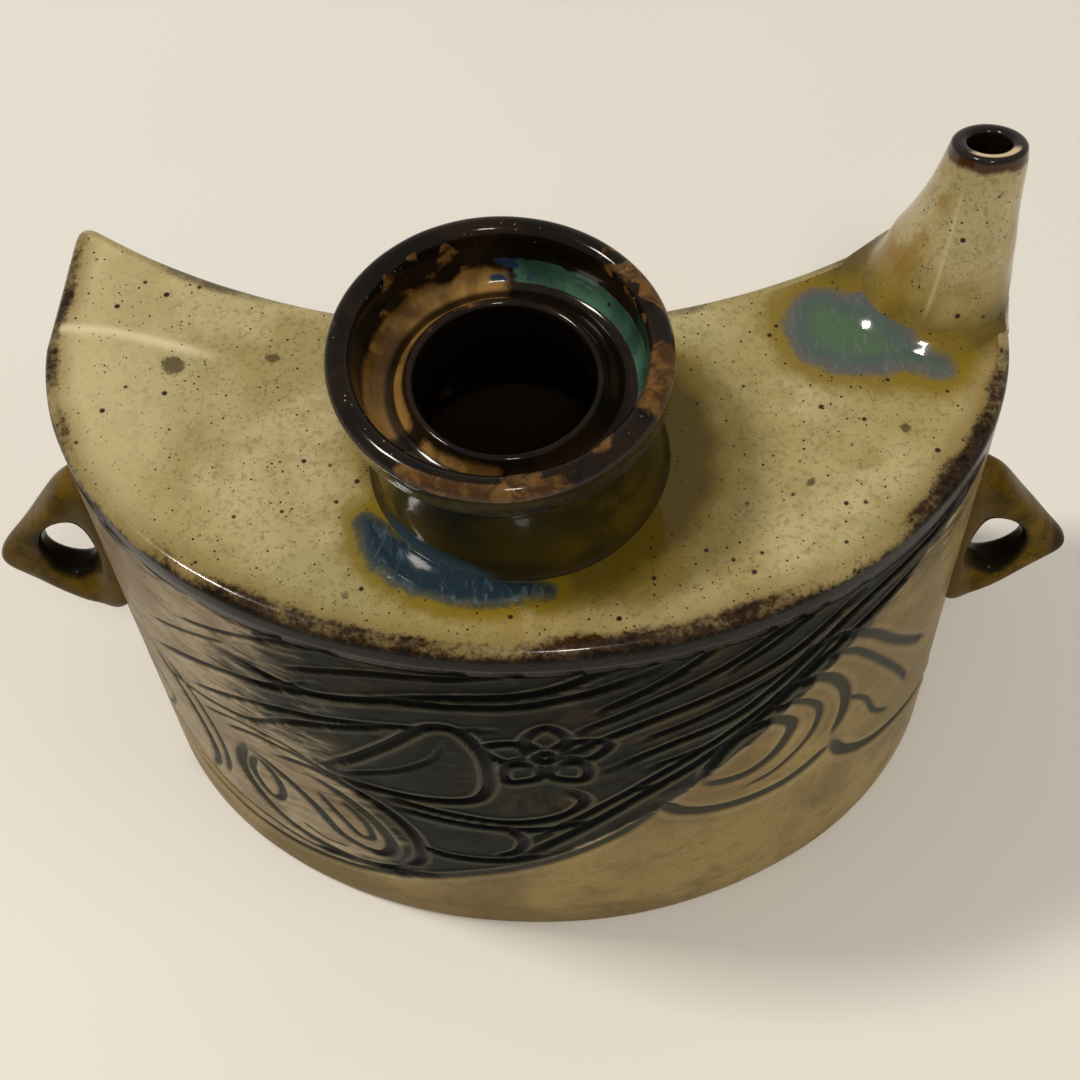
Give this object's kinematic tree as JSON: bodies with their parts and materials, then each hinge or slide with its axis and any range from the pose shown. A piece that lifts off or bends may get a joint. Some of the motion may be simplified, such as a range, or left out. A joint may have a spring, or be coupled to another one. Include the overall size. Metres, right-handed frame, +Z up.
{
  "type": "sake bottle",
  "caption": "Crescent stoneware hip flask for sake, with a thrown galleried mouth, a tapered pouring spout on one horn and pierced side lugs for a carrying cord.",
  "frame": {"origin": "on the standing face, straight under the axis of the neck", "axes": "+X towards the horn with the pouring spout, -Y out of the convex decorated front, +Y out of the hollow back, +Z up"},
  "size_m": [0.2117, 0.0989, 0.1543],
  "materials": {
    "ash_glaze": "glossy, speckled",
    "brown_glaze": "glossy, mottled",
    "incised_glaze": "glossy, dark in the cut lines",
    "iron_glaze": "high gloss, breaking rust",
    "bare_clay": "matt"
  },
  "bodies": {
    "root": {"base_slab": "bare_clay", "front_wall": "incised_glaze", "back_wall": "brown_glaze", "left_side_wall": "brown_glaze", "right_side_wall": "brown_glaze", "base_seam_coil": "bare_clay", "left_horn_coil": "bare_clay", "right_horn_coil": "bare_clay", "shoulder_slab": "ash_glaze", "neck": "iron_glaze", "spout": "ash_glaze", "left_lug": "brown_glaze", "right_lug": "brown_glaze"}
  },
  "joints": []
}
